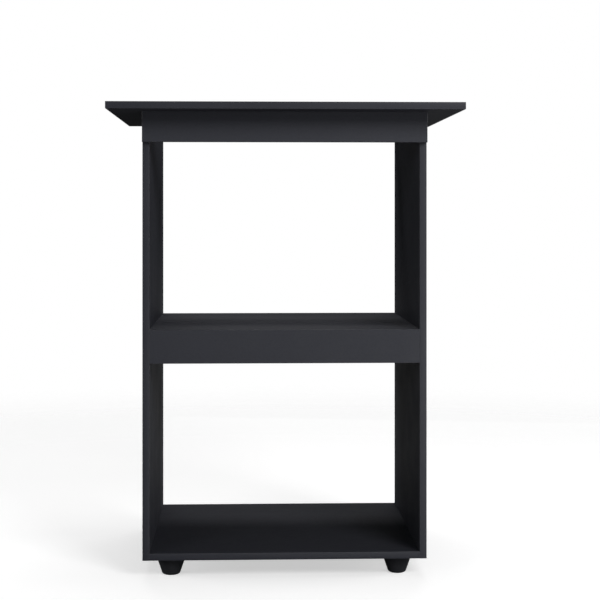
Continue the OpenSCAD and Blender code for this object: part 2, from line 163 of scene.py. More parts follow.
def blendColours(tree, amount, first, second):
    first, second = (c if isinstance(c, bpy.types.NodeSocket) else (*c, 1.0) for c in (first, second))
    return addNode(tree, "ShaderNodeMix", {0: amount, 6: first, 7: second}, data_type="RGBA").outputs[2]


# Each stop is a place from 0 to 1 and its colour
def colourRamp(tree, value, stops):
    ramp = addNode(tree, "ShaderNodeValToRGB", {"Fac": value})
    elements = ramp.color_ramp.elements
    while len(elements) < len(stops):
        elements.new(0.5)
    for element, (at, colour) in zip(elements, stops):
        element.position = at
        element.color = (*colour, 1.0)
    return ramp.outputs["Color"]


def bump(tree, height, depth, strength=1.0):
    relief = addNode(tree, "ShaderNodeBump", {"Height": height, "Distance": depth, "Strength": strength})
    return relief.outputs["Normal"]


def connect(tree, shader, **sockets):
    names = {"colour": "Base Color", "roughness": "Roughness", "normal": "Normal"}
    for name, value in sockets.items():
        tree.links.new(value, shader.inputs[names[name]])


studio = {
    "floorRadius": 3.4,
    "floorSides": 96,
    "fade": (1.0, 3.2),                # distances between which the floor melts into the backdrop
    "floorColour": (0.80, 0.80, 0.80),
    "floorShade": 0.985,               # brightness of its darker patches
    "floorMottle": (1.5, 4.0),
    "floorRoughness": (0.7, 0.8),
    "floorSpecular": 0.2,
    "floorGlow": 0.53,
    "backdrop": (1.0, 1.0, 1.0),
    "ambient": 0.018,
}


# The floor catches the cabinet's shadow and sends no light back
def addFloor():
    look = studio
    bpy.ops.mesh.primitive_circle_add(vertices=look["floorSides"], radius=look["floorRadius"],
                                      fill_type="NGON")
    floor = bpy.context.object
    floor.name = "studio_floor"
    material, tree, shader, place = newMaterial("pale_floor")
    mottle = noise(tree, place, *look["floorMottle"])
    shade = [c * look["floorShade"] for c in look["floorColour"]]
    colour = blendColours(tree, mottle, look["floorColour"], shade)
    connect(tree, shader, colour=colour, roughness=spread(tree, mottle, look["floorRoughness"]))
    shader.inputs["Specular IOR Level"].default_value = look["floorSpecular"]
    shader.inputs["Emission Color"].default_value = white
    shader.inputs["Emission Strength"].default_value = look["floorGlow"]
    apart = addNode(tree, "ShaderNodeVectorMath", {0: place}, operation="LENGTH").outputs["Value"]
    fade = remap(tree, apart, look["fade"], (0.0, 1.0), smooth=True)
    clear = addNode(tree, "ShaderNodeBsdfTransparent").outputs["BSDF"]
    both = addNode(tree, "ShaderNodeMixShader", {0: fade, 1: shader.outputs["BSDF"], 2: clear}).outputs[0]
    output = next(node for node in tree.nodes if node.type == "OUTPUT_MATERIAL")
    tree.links.new(both, output.inputs["Surface"])
    floor.data.materials.append(material)
    floor.visible_diffuse = False
    floor.visible_glossy = False


# The camera sees the backdrop, and the cabinet gets only the ambient light
def setWorld():
    world = bpy.data.worlds.new("studio_world")
    bpy.context.scene.world = world
    world.use_nodes = True
    tree = world.node_tree
    tree.nodes.clear()
    seen = addNode(tree, "ShaderNodeBackground", {"Color": (*studio["backdrop"], 1.0), "Strength": 1.0})
    soft = addNode(tree, "ShaderNodeBackground", {"Color": white, "Strength": studio["ambient"]})
    ray = addNode(tree, "ShaderNodeLightPath").outputs["Is Camera Ray"]
    both = addNode(tree, "ShaderNodeMixShader", {0: ray, 1: soft.outputs[0], 2: seen.outputs[0]})
    addNode(tree, "ShaderNodeOutputWorld", {"Surface": both.outputs[0]})


# Materials of the cabinet
# A noise in a look is its scale, its detail and at times its roughness
# A pair of ranges in a look says which values become which

boardLook = {
    "graphite": (0.0290, 0.0306, 0.0400),
    "graphiteDark": (0.0262, 0.0277, 0.0364),
    "pale": (0.0400, 0.0420, 0.0530),     # tips of the grain and faint hand marks
    "mottle": (3.5, 3.0),
    "smudge": (9.0, 6.0, 0.62),
    "handMarks": ((0.52, 0.72), (0.0, 0.12)),
    "roughness": (0.50, 0.60),
    "specular": 0.3,
    "leatherGrain": 400,                  # cells in a metre
    "grainTips": ((0.15, 0.75), (0.22, 0.0)),
    "grainRoughness": ((0.0, 0.8), (-0.03, 0.05)),
    "poreGrain": 1250,
    "poreShare": 0.35,                    # depth of the pores beside the grain's
    "grainDepth": 0.07 * mm,
    "skin": 0.25 * mm,                    # melamine paper and resin on each face
    "chips": ((0.0, (0.10, 0.06, 0.03)), (0.35, (0.26, 0.16, 0.08)), (0.7, (0.42, 0.29, 0.16)),
              (1.0, (0.56, 0.42, 0.26))),
    "resin": (0.07, 0.04, 0.02),
    "resinGaps": ((0.45, 0.85), (0.0, 0.6)),
    "coreShare": 0.30,                    # half of the coarse middle layer, as a share of the thickness
    "coreBlend": 0.06,
    "coarseChips": 520,
    "fineChips": 1500,
    "chipStretch": 0.4,
    "wander": 700,                        # breaks up the chips' round outlines
    "stray": 1.6 * mm,
    "chipDepth": 0.25 * mm,
    "cutRoughness": 0.9,
}


# Graphite melamine with a leathery grain: colour, roughness and relief
def melamineFace(tree, place):
    look = boardLook
    mottle = noise(tree, place, *look["mottle"])
    smudge = noise(tree, place, *look["smudge"])
    leather = cells(tree, place, look["leatherGrain"], "SMOOTH_F1").outputs["Distance"]
    pore = cells(tree, place, look["poreGrain"]).outputs["Distance"]
    colour = blendColours(tree, spread(tree, mottle, (0.0, 1.0)), look["graphiteDark"], look["graphite"])
    colour = blendColours(tree, remap(tree, leather, *look["grainTips"]), colour, look["pale"])
    colour = blendColours(tree, remap(tree, smudge, *look["handMarks"], smooth=True), colour, look["pale"])
    rough = spread(tree, smudge, look["roughness"])
    rough = arithmetic(tree, "ADD", rough, remap(tree, leather, *look["grainRoughness"]))
    relief = arithmetic(tree, "MULTIPLY_ADD", pore, look["poreShare"], leather)
    return colour, rough, arithmetic(tree, "MULTIPLY", relief, -1.0)


# Cut chipboard: coarse chips in the middle, fine ones near the faces, dark resin between them
def chipboardCore(tree, place, across, depth, half):
    look = boardLook
    squash = [look["chipStretch"]] * 3
    squash[across] = 1.0
    wander = addNode(tree, "ShaderNodeTexNoise", {"Vector": place, "Scale": look["wander"]})
    strayed = addNode(tree, "ShaderNodeVectorMath",
                      {0: wander.outputs["Color"], 1: (look["stray"],) * 3, 2: place}, operation="MULTIPLY_ADD")
    flat = stretch(tree, strayed.outputs["Vector"], squash)
    coarse = cells(tree, flat, look["coarseChips"])
    fine = cells(tree, flat, look["fineChips"])
    start = 2 * half * look["coreShare"]
    core = remap(tree, depth, (start, start + 2 * half * look["coreBlend"]), (1.0, 0.0))
    tones = [addNode(tree, "ShaderNodeSeparateColor", {"Color": chips.outputs["Color"]}).outputs[0]
             for chips in (fine, coarse)]
    gaps = mixValues(tree, core, fine.outputs["Distance"], coarse.outputs["Distance"])
    wood = colourRamp(tree, mixValues(tree, core, *tones), look["chips"])
    return blendColours(tree, remap(tree, gaps, *look["resinGaps"]), wood, look["resin"]), gaps


# Melamine on the faces of the board, chipboard where it is cut and has no edge band
def boardMaterial(name, low, high):
    look = boardLook
    sizes = high - low
    across = min(range(3), key=lambda i: sizes[i])
    half = sizes[across] / 2
    middle = (low[across] + high[across]) / 2
    material, tree, shader, place = newMaterial("melamine_" + name)
    split = addNode(tree, "ShaderNodeSeparateXYZ", {"Vector": place})
    depth = arithmetic(tree, "ABSOLUTE", arithmetic(tree, "SUBTRACT", split.outputs[across], middle))
    skin = arithmetic(tree, "GREATER_THAN", depth, half - look["skin"])
    graphite, faceRough, grain = melamineFace(tree, place)
    wood, gaps = chipboardCore(tree, place, across, depth, half)
    chipRelief = arithmetic(tree, "MULTIPLY", gaps, -look["chipDepth"] / look["grainDepth"])
    colour = blendColours(tree, skin, wood, graphite)
    rough = mixValues(tree, skin, look["cutRoughness"], faceRough)
    relief = mixValues(tree, skin, chipRelief, grain)
    connect(tree, shader, colour=colour, roughness=rough, normal=bump(tree, relief, look["grainDepth"]))
    shader.inputs["Specular IOR Level"].default_value = look["specular"]
    return material


bandLook = {
    "colour": (0.0295, 0.0311, 0.0405),
    "shade": (0.0268, 0.0283, 0.0370),
    "mottle": (9.0, 4.0),
    "roughness": (0.42, 0.54),
    "specular": 0.3,
    "leatherGrain": 620,
    "fineGrain": (1900, 3.0),
    "fineShare": 0.5,
    "grainDepth": 0.04 * mm,
    # The arris is lighter than the band for two reasons: wear, and a painted highlight on the rounded corner
    "arris": (0.060, 0.063, 0.072),
    "wearAndHighlight": (60.0, 5.0, 0.65),
    "wornAndHighlit": ((0.35, 0.7), (0.0, 1.0)),
    "arrisRoughness": (0.5, 0.36),
}


# Plastic edge band, with a finer and flatter grain than the board's face
def bandMaterial():
    look = bandLook
    material, tree, shader, place = newMaterial("edge_band")
    mottle = noise(tree, place, *look["mottle"])
    leather = cells(tree, place, look["leatherGrain"], "SMOOTH_F1").outputs["Distance"]
    fine = noise(tree, place, *look["fineGrain"])
    colour = blendColours(tree, spread(tree, mottle, (0.0, 1.0)), look["shade"], look["colour"])
    rough = spread(tree, mottle, look["roughness"])
    relief = arithmetic(tree, "MULTIPLY_ADD", fine, look["fineShare"], leather)
    connect(tree, shader, colour=colour, roughness=rough, normal=bump(tree, relief, look["grainDepth"]))
    shader.inputs["Specular IOR Level"].default_value = look["specular"]
    return material


# The band's rounded corner, a little rubbed and lighter in colour as a painted highlight
def arrisMaterial():
    look = bandLook
    material, tree, shader, place = newMaterial("edge_band_arris")
    wearAndHighlight = noise(tree, place, *look["wearAndHighlight"])
    colour = blendColours(tree, remap(tree, wearAndHighlight, *look["wornAndHighlit"]), look["colour"], look["arris"])
    connect(tree, shader, colour=colour, roughness=spread(tree, wearAndHighlight, look["arrisRoughness"]))
    return material


footLook = {
    "colour": (0.0225, 0.0235, 0.0275),
    "worn": (0.040, 0.041, 0.043),
    "dustHeight": 9 * mm,
    "speckle": (420.0, 4.0, 0.7),
    "dusty": ((0.4, 0.7), (0.0, 0.7)),
    "patch": (35.0, 3.0),
    "roughness": (0.40, 0.52),
    "sparkGrain": 2600,
    "sparkDepth": 0.05 * mm,
    "sparkStrength": 0.8,
}


# Moulded black plastic with a fine spark texture, dusty and scuffed near the floor
def footMaterial():
    look = footLook
    material, tree, shader, place = newMaterial("foot_plastic")
    height = addNode(tree, "ShaderNodeSeparateXYZ", {"Vector": place}).outputs[2]
    low = remap(tree, height, (0.0, look["dustHeight"]), (1.0, 0.0), smooth=True)
    speckle = noise(tree, place, *look["speckle"])
    dust = arithmetic(tree, "MULTIPLY", low, remap(tree, speckle, *look["dusty"]))
    spark = cells(tree, place, look["sparkGrain"]).outputs["Distance"]
    patch = noise(tree, place, *look["patch"])
    colour = blendColours(tree, dust, look["colour"], look["worn"])
    connect(tree, shader, colour=colour, roughness=spread(tree, patch, look["roughness"]),
            normal=bump(tree, spark, look["sparkDepth"], look["sparkStrength"]))
    return material


# Satin moulded plastic of the cover caps
capLook = {
    "patch": (120.0, 3.0),
    "colours": ((0.027, 0.028, 0.033), (0.032, 0.033, 0.038)),
    "roughness": (0.36, 0.46),
    "grain": (2400, 2.0),
    "grainDepth": 0.015 * mm,
}

# Die-cast zinc: dull skin with cloudy patches and a cast surface
zincLook = {
    "patch": (260.0, 4.0, 0.6),
    "colours": ((0.30, 0.31, 0.33), (0.47, 0.48, 0.50)),
    "roughness": (0.36, 0.55),
    "grain": (3200, 3.0),
    "grainDepth": 0.03 * mm,
}

# Bright zinc plate on steel, with fine level lines
steelLook = {
    "patch": (180.0, 3.0),
    "colours": ((0.50, 0.51, 0.52), (0.62, 0.62, 0.60)),
    "roughness": (0.22, 0.36),
    "grain": (1500, 2.0),
    "grainStretch": (1.0, 1.0, 9.0),
    "grainDepth": 0.012 * mm,
}


# Two tones in patches, over a fine grain
def patchyMaterial(name, look):
    material, tree, shader, place = newMaterial(name)
    patch = noise(tree, place, *look["patch"])
    run = stretch(tree, place, look["grainStretch"]) if "grainStretch" in look else place
    grain = noise(tree, run, *look["grain"])
    connect(tree, shader, colour=blendColours(tree, patch, *look["colours"]),
            roughness=spread(tree, patch, look["roughness"]), normal=bump(tree, grain, look["grainDepth"]))
    return material, shader


def capMaterial():
    return patchyMaterial("cap_plastic", capLook)[0]


def metalMaterial(name, look):
    material, shader = patchyMaterial(name, look)
    shader.inputs["Metallic"].default_value = 1.0
    return material


def zincMaterial():
    return metalMaterial("cast_zinc", zincLook)


def steelMaterial():
    return metalMaterial("plated_steel", steelLook)


beechLook = {
    "tones": ((0.3, (0.42, 0.26, 0.13)), (0.55, (0.60, 0.41, 0.23)), (0.75, (0.68, 0.49, 0.29))),
    "alongFibre": 0.06,          # stretches the fibres and flecks
    "fibre": (1500, 4.0, 0.6),
    "fleckGrain": 700,
    "flecks": ((0.0, 0.25), (0.35, 0.0)),
    "fleck": (0.30, 0.17, 0.08),
    "roughness": (0.6, 0.75),
    "fibreDepth": 0.05 * mm,
}


# Beech with its grain along the dowel, which lies along the axis given
def beechMaterial(along):
    look = beechLook
    material, tree, shader, place = newMaterial("beech_along_" + "xyz"[along])
    factors = [1.0, 1.0, 1.0]
    factors[along] = look["alongFibre"]
    run = stretch(tree, place, factors)
    fibre = noise(tree, run, *look["fibre"])
    fleck = cells(tree, run, look["fleckGrain"]).outputs["Distance"]
    colour = colourRamp(tree, fibre, look["tones"])
    colour = blendColours(tree, remap(tree, fleck, *look["flecks"]), colour, look["fleck"])
    connect(tree, shader, colour=colour, roughness=spread(tree, fibre, look["roughness"]),
            normal=bump(tree, fibre, look["fibreDepth"]))
    return material


# Modelling steps

turnWeld = 0.002 * mm                # points of a turned piece closer than this become one
cadWeld = 0.005 * mm                 # the same in a CAD mesh, whose faces share no points
straightUp = 0.99                    # least Z of the normal of a face that looks up


def deselectAll():
    if bpy.context.object and bpy.context.object.mode != "OBJECT":
        bpy.ops.object.mode_set(mode="OBJECT")
    bpy.ops.object.select_all(action="DESELECT")


def choose(piece):
    deselectAll()
    piece.select_set(True)
    bpy.context.view_layer.objects.active = piece


def startEdit(piece, kind):
    choose(piece)
    bpy.ops.object.mode_set(mode="EDIT")
    bpy.ops.mesh.select_mode(type=kind)
    bpy.ops.mesh.select_all(action="DESELECT")


def endEdit():
    bpy.ops.object.mode_set(mode="OBJECT")


# Selects the vertices, edges or faces that pass the test
def pick(piece, kind, test):
    mesh = bmesh.from_edit_mesh(piece.data)
    for part in {"VERT": mesh.verts, "EDGE": mesh.edges, "FACE": mesh.faces}[kind]:
        if test(part):
            part.select_set(True)
    mesh.select_flush_mode()
    bmesh.update_edit_mesh(piece.data)


# A block from corner to corner, with its place in its mesh
def addBlock(low, high):
    deselectAll()
    bpy.ops.mesh.primitive_cube_add(size=1, location=(Vector(low) + Vector(high)) / 2,
                                    scale=Vector(high) - Vector(low))
    bpy.ops.object.transform_apply(location=True, rotation=True, scale=True)
    return bpy.context.object


def joinPieces(name, pieces):
    deselectAll()
    for piece in pieces:
        piece.select_set(True)
    bpy.context.view_layer.objects.active = pieces[0]
    if len(pieces) > 1:
        bpy.ops.object.join()
    whole = bpy.context.object
    whole.name = name
    whole.data.name = name
    return whole


def applyModifiers(piece):
    choose(piece)
    for modifier in list(piece.modifiers):
        bpy.ops.object.modifier_apply(modifier=modifier.name)


# Cuts a tool out of a piece; "UNION" joins it on, and "INTERSECT" keeps what both share
def cutWith(piece, tool, how="DIFFERENCE"):
    cut = piece.modifiers.new("cut", "BOOLEAN")
    cut.operation = how
    cut.solver = "EXACT"
    cut.object = tool
    applyModifiers(piece)
    bpy.data.objects.remove(tool, do_unlink=True)


# Bevels the edges that pass the test
def bevelEdges(piece, test, width, steps, **settings):
    startEdit(piece, "EDGE")
    pick(piece, "EDGE", test)
    bpy.ops.mesh.bevel(offset=width, segments=steps, affect="EDGES", **settings)
    endEdit()


def faceUp(face):
    return face.normal.z > straightUp


def faceDown(face):
    return face.normal.z < -straightUp


# Turns a mesh about the Z axis, by radians
def swivel(piece, angle):
    piece.data.transform(Matrix.Rotation(angle, 4, "Z"))


# A round bar with its middle at centre, along the Z axis unless turned
def addRound(radius, length, sides, centre=(0, 0, 0), turn=(0, 0, 0)):
    deselectAll()
    bpy.ops.mesh.primitive_cylinder_add(vertices=sides, radius=radius, depth=length,
                                        location=centre, rotation=turn)
    bpy.ops.object.transform_apply(location=True, rotation=True, scale=True)
    return bpy.context.object


# Angles from 0 to a right angle, evenly spaced
def quarterTurn(steps):
    return [math.pi / 2 * i / steps for i in range(steps + 1)]


# Turns an outline of (radius, height) points once round the Z axis
def turnOutline(name, outline, steps):
    points = [Vector((r, 0, z)) for r, z in outline]
    deselectAll()
    bpy.ops.mesh.primitive_plane_add(size=mm, location=points[0])
    bpy.ops.object.transform_apply(location=True, rotation=True, scale=True)
    piece = bpy.context.object
    piece.name = name
    startEdit(piece, "VERT")
    bpy.ops.mesh.select_all(action="SELECT")
    bpy.ops.mesh.merge(type="CENTER")
    for before, after in zip(points, points[1:]):
        bpy.ops.mesh.extrude_region_move(TRANSFORM_OT_translate={"value": after - before})
    bpy.ops.mesh.select_all(action="SELECT")
    bpy.ops.mesh.spin(steps=steps, angle=math.tau, center=(0, 0, 0), axis=(0, 0, 1))
    bpy.ops.mesh.select_all(action="SELECT")
    bpy.ops.mesh.remove_doubles(threshold=turnWeld)
    bpy.ops.mesh.normals_make_consistent(inside=False)
    endEdit()
    return piece


# Smooths the edges that bend by less than some degrees
def smooth(piece, angle):
    choose(piece)
    bpy.ops.object.shade_smooth_by_angle(angle=math.radians(angle))


# Lowest and highest corners of each solid in a CAD node
def solidBoxes(node):
    mesh = bmesh.new()
    mesh.from_mesh(cad[node].data)
    bmesh.ops.remove_doubles(mesh, verts=mesh.verts, dist=cadWeld)
    left = set(mesh.verts)
    boxes = []
    while left:
        group, front = set(), [left.pop()]
        while front:
            vertex = front.pop()
            group.add(vertex.co.copy().freeze())
            for edge in vertex.link_edges:
                other = edge.other_vert(vertex)
                if other in left:
                    left.remove(other)
                    front.append(other)
        boxes.append((Vector(min(p[i] for p in group) for i in range(3)),
                      Vector(max(p[i] for p in group) for i in range(3))))
    mesh.free()
    return sorted(boxes, key=lambda box: tuple(round(c, 4) for c in box[0]))    # to a tenth of a millimetre


def boxMiddle(box):
    return (box[0] + box[1]) / 2


def boxSizes(box):
    return box[1] - box[0]


# Turn and place that bring a piece's own X to way and its own Z to mouth
def placed(centre, way, mouth):
    way, mouth = Vector(way), Vector(mouth)
    turn = Matrix((way, mouth.cross(way), mouth)).transposed().to_4x4()
    return Matrix.Translation(centre) @ turn


# One copy of the model at each place, all in one piece, each with its own mesh
def copyTo(name, model, places):
    copies = []
    for place in places:
        copy = model.copy()
        copy.data = model.data.copy()
        copy.data.transform(place)
        bpy.context.scene.collection.objects.link(copy)
        copies.append(copy)
    return joinPieces(name, copies)


def finishPiece(piece, slot, *nodes):
    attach(piece, "root")
    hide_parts(*nodes)


def coat(piece, *materials):
    piece.data.materials.clear()
    for material in materials:
        piece.data.materials.append(material)


# Boards keep their own solids, and each gets its edge bands

# Each board with the node of its edge bands
boardBands = {
    "worktop": "worktop_edge_bands",
    "left_side": "left_side_edge_bands",
    "right_side": "right_side_edge_bands",
    "base_board": "base_edge_bands",
    "shelf_board": "shelf_edge_band",
    "front_rail": "front_rail_edge_bands",
    "fascia": "fascia_edge_bands",
    "rear_top_rail": "rear_top_rail_edge_band",
    "rear_shelf_rail": "rear_shelf_rail_edge_band",
}


def coatBoards():
    for board in boardBands:
        coat(cad[board], boardMaterial(board, *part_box(board)))


band = {
    "arrisRadius": 0.5 * mm,
    "arrisSteps": 4,
    "glueLine": 0.08 * mm,           # tiny bevel against the board, which shows as a hairline
    "smoothAngle": 40,
}


# One strip, from its box, with the long corners of its outer face rounded
def bandStrip(box, boardBox, materials):
    low, high = box
    sizes = boxSizes(box)
    out = min(range(3), key=lambda i: sizes[i])
    run = max(range(3), key=lambda i: sizes[i])
    facesUp = boxMiddle(box)[out] > boxMiddle(boardBox)[out]
    inner, outer = (low[out], high[out]) if facesUp else (high[out], low[out])
    strip = addBlock(low, high)
    coat(strip, *materials)

    def runsAlong(edge, at):
        a, b = edge.verts[0].co, edge.verts[1].co
        return max(abs(a[out] - at), abs(b[out] - at)) < tiny and abs(a[run] - b[run]) > sizes[run] / 2

    bevelEdges(strip, lambda edge: runsAlong(edge, inner), band["glueLine"], 1)
    bevelEdges(strip, lambda edge: runsAlong(edge, outer), band["arrisRadius"], band["arrisSteps"],
               material=1)
    return strip


def addBands():
    materials = bandMaterial(), arrisMaterial()
    for board, node in boardBands.items():
        strips = [bandStrip(box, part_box(board), materials) for box in solidBoxes(node)]
        piece = joinPieces("banding_" + board, strips)
        smooth(piece, band["smoothAngle"])
        finishPiece(piece, "edge_band_graphite", node)
    print("edge bands:", len(boardBands))


# Feet

foot = {
    "flankSlope": 19,                # degrees from the vertical
    "edgeRadius": 7 * mm,
    "wall": 2.5 * mm,
    "rimBevel": 0.4 * mm,
    "bossRadius": 7.5 * mm,
    "screwHole": 2.35 * mm,
    "headHole": 5 * mm,
    "headHoleDepth": 12 * mm,
    "headHoleBevel": 0.6 * mm,
    "ribs": 6,
    "ribThickness": 2 * mm,
    "arcSteps": 12,
    "turnSteps": 96,
    "smoothAngle": 40,
}

footNodes = ["foot_front_left", "foot_front_right", "foot_rear_left", "foot_rear_right"]


# Radius of the flank at a height, set in by inset
def flankRadius(topRadius, height, z, inset=0.0):
    slope = math.radians(foot["flankSlope"])
    return topRadius - inset / math.cos(slope) - (height - z) * math.tan(slope)


# The round lower edge, from the flat bottom out to the flank
def edgeArc(topRadius, height, inset=0.0):
    slope = math.radians(foot["flankSlope"])
    radius = foot["edgeRadius"] - inset
    middleZ = foot["edgeRadius"]
    middleR = flankRadius(topRadius, height, middleZ, inset) - radius / math.cos(slope)
    steps = foot["arcSteps"]
    turns = [-math.pi / 2 + (math.pi / 2 - slope) * i / steps for i in range(steps + 1)]
    return [(middleR + radius * math.cos(a), middleZ + radius * math.sin(a)) for a in turns]


# Ribs from the screw's boss to the middle of the wall, which cuts them to the flank's slope
def footRibs(topRadius, height):
    start = foot["screwHole"] + mm
    half = foot["ribThickness"] / 2
    middleWall = foot["wall"] / 2
    ribs = []
    for i in range(foot["ribs"]):
        rib = addBlock((start, -half, 0), (topRadius, half, height))
        swivel(rib, math.tau * i / foot["ribs"])
        ribs.append(rib)
    star = joinPieces("foot_ribs", ribs)
    topPoint = (flankRadius(topRadius, height, height + mm, middleWall), height + mm)
    outline = [(0, middleWall)] + edgeArc(topRadius, height, middleWall) + [topPoint, (0, height + mm)]
    cutWith(star, turnOutline("rib_limit", outline, foot["turnSteps"]), "INTERSECT")
    return star


def footModel(topRadius, height):
    bevel = foot["rimBevel"]
    boss = foot["bossRadius"]
    hole = foot["screwHole"]
    head, headTop = foot["headHole"], foot["headHoleDepth"]
    mouth = foot["headHoleBevel"]
    cavity = edgeArc(topRadius, height, foot["wall"])
    outline = [(head + mouth, 0.0)]
    outline += edgeArc(topRadius, height)
    outline += [(flankRadius(topRadius, height, height - bevel), height - bevel),
                (topRadius - bevel, height),
                (flankRadius(topRadius, height, height, foot["wall"]), height)]
    outline += reversed([point for point in cavity if point[0] > boss])
    outline += [(boss, foot["wall"]), (boss, height), (hole, height), (hole, headTop),
                (head, headTop), (head, mouth), (head + mouth, 0.0)]
    model = turnOutline("foot_model", outline, foot["turnSteps"])
    cutWith(model, footRibs(topRadius, height), "UNION")
    smooth(model, foot["smoothAngle"])
    return model


def addFeet():
    low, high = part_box(footNodes[0])
    model = footModel((high.x - low.x) / 2, high.z)
    coat(model, footMaterial())
    for node in footNodes:
        centre = boxMiddle(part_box(node))
        place = Matrix.Translation((centre.x, centre.y, 0))
        finishPiece(copyTo(node.replace("foot_", "bell_foot_"), model, [place]), "foot_plastic", node)
    bpy.data.objects.remove(model, do_unlink=True)
    print("feet:", len(footNodes))


# Fittings

crossTurns = (45, 135)               # degrees at which the arms of a cross lie

camLock = {
    "sides": 64,
    "rimWidth": 0.9 * mm,
    "rimDrop": 0.4 * mm,
    "rimBevel": 0.3 * mm,
    "bevelSteps": 2,
    "slotWidth": 2 * mm,
    "slotLength": 9 * mm,
    "slotDepth": 2 * mm,
    "dimpleRadius": 1.7 * mm,
    "arrowRadius": 1.1 * mm,
    "arrowSides": 3,
    "arrowAt": 5.1 * mm,
    "arrowThickness": 1 * mm,
    "arrowRise": 0.15 * mm,          # its middle above the sunk face
    "wayRadius": 4 * mm,
    "waySides": 48,
    "wayPastMiddle": 2.5 * mm,
    "faceToBolt": 7.2 * mm,          # from the mouth's face down to the bolt's axis
    "smoothAngle": 30,
}


# A cam lock round the origin: its mouth is up, and the bolt comes in along +X
def camLockModel(radius, height):
    look = camLock
    top = height / 2
    floor = top - look["rimDrop"]
    model = addRound(radius, height, look["sides"])
    startEdit(model, "FACE")
    pick(model, "FACE", faceUp)
    bpy.ops.mesh.inset(thickness=look["rimWidth"])
    bpy.ops.mesh.extrude_region_move(TRANSFORM_OT_translate={"value": (0, 0, -look["rimDrop"])})
    endEdit()

    def goesRound(edge):
        a, b = edge.verts[0].co, edge.verts[1].co
        return abs(a.z - b.z) < tiny and min(a.xy.length, b.xy.length) > radius - tiny

    bevelEdges(model, goesRound, look["rimBevel"], look["bevelSteps"])
    half = look["slotLength"] / 2
    wide = look["slotWidth"] / 2
    for turn in crossTurns:
        slot = addBlock((-half, -wide, floor - look["slotDepth"]), (half, wide, top + mm))
        swivel(slot, math.radians(turn))
        cutWith(model, slot)
    cutWith(model, addRound(look["dimpleRadius"], 2 * look["slotDepth"], look["sides"], (0, 0, floor)))
    arrowPlace = (look["arrowAt"], 0, floor + look["arrowRise"])
    cutWith(model, addRound(look["arrowRadius"], look["arrowThickness"], look["arrowSides"], arrowPlace))
    reach = radius + mm + look["wayPastMiddle"]
    wayPlace = (reach / 2 - look["wayPastMiddle"], 0, top - look["faceToBolt"])
    cutWith(model, addRound(look["wayRadius"], reach, look["waySides"], wayPlace, (0, math.radians(90), 0)))
    smooth(model, look["smoothAngle"])
    return model


capShape = {
    "discThickness": 1 * mm,
    "underBevel": 0.1 * mm,
    "edgeRadius": 0.6 * mm,
    "crown": 0.15 * mm,              # how much the disc's middle stands above its edge
    "crownPoint": (0.5, 0.3),        # how far out it lies and how far down, as shares of radius and crown
    "plugWidth": 1.8 * mm,
    "plugLength": 8.8 * mm,
    "plugBevel": 0.2 * mm,
    "plugSink": 0.3 * mm,            # how far the plug goes up into the disc
    "arcSteps": 5,
    "turnSteps": 64,
    "smoothAngle": 40,
}


# A cover cap round the origin, its crowned disc on top and its cross plug below
def coverCapModel(radius, height):
    look = capShape
    top = height / 2
    under = top - look["discThickness"]
    bevel = look["underBevel"]
    edge = look["edgeRadius"]
    shoulder = top - look["crown"]
    share, drop = look["crownPoint"]
    outline = [(0, under), (radius - bevel, under), (radius, under + bevel)]
    outline += [(radius - edge + edge * math.cos(a), shoulder - edge + edge * math.sin(a))
                for a in quarterTurn(look["arcSteps"])]
    outline += [(radius * share, top - look["crown"] * drop), (0, top)]
    model = turnOutline("cap_model", outline, look["turnSteps"])
    half = look["plugLength"] / 2
    wide = look["plugWidth"] / 2
    for turn in crossTurns:
        plug = addBlock((-half, -wide, -top), (half, wide, under + look["plugSink"]))
        bevelEdges(plug, lambda e: all(abs(v.co.z + top) < tiny for v in e.verts), look["plugBevel"], 1)
        swivel(plug, math.radians(turn))
        cutWith(model, plug, "UNION")
    smooth(model, look["smoothAngle"])
    return model


thread = {
    "halfWidth": 0.38,               # share of the pitch
    "sink": 0.15 * mm,               # how far its foot lies inside the bar
    "steps": 24,                     # in one turn
}


# A closed ridge with a three-sided section that winds up round the Z axis
def threadRidge(rootRadius, crestRadius, pitch, fromZ, toZ):
    turns = (toZ - fromZ) / pitch - 1
    width = pitch * thread["halfWidth"]
    sink = rootRadius - thread["sink"]
    middle = fromZ + pitch / 2
    corners = ((sink, middle - width), (crestRadius, middle), (sink, middle + width))
    deselectAll()
    bpy.ops.mesh.primitive_circle_add(vertices=len(corners), radius=mm, fill_type="NOTHING")
    ridge = bpy.context.object
    startEdit(ridge, "VERT")
    for i, (r, z) in enumerate(corners):
        bpy.ops.mesh.select_all(action="DESELECT")
        at = ridge.data.vertices[i].co
        pick(ridge, "VERT", lambda v: v.index == i)
        bpy.ops.transform.translate(value=Vector((r, 0, z)) - at)
    endEdit()
    wind = ridge.modifiers.new("wind", "SCREW")
    wind.axis = "Z"
    wind.angle = math.tau * turns
    wind.screw_offset = pitch * turns
    wind.steps = wind.render_steps = round(thread["steps"] * turns)
    applyModifiers(ridge)
    startEdit(ridge, "EDGE")
    bpy.ops.mesh.select_non_manifold()
    bpy.ops.mesh.edge_face_add()
    bpy.ops.mesh.select_all(action="SELECT")
    bpy.ops.mesh.normals_make_consistent(inside=False)
    endEdit()
    return ridge


camBolt = {
    "headRadius": 3.5 * mm,
    "headLength": 3 * mm,
    "neckRadius": 2 * mm,
    "neckEnd": 9 * mm,               # from the head's end
    "shankRadius": 3 * mm,
    "collarLength": 2 * mm,
    "rootRadius": 1.8 * mm,
    "crestRadius": 2.5 * mm,
    "threadLength": 11 * mm,
    "threadStart": 0.3 * mm,         # from the collar
    "threadStop": 0.8 * mm,          # before the tip
    "pitch": 2.2 * mm,
    "tipRadius": 0.5 * mm,
    "tipLength": 1.5 * mm,
    "bevel": 0.3 * mm,
    "turnSteps": 40,
    "smoothAngle": 35,
}


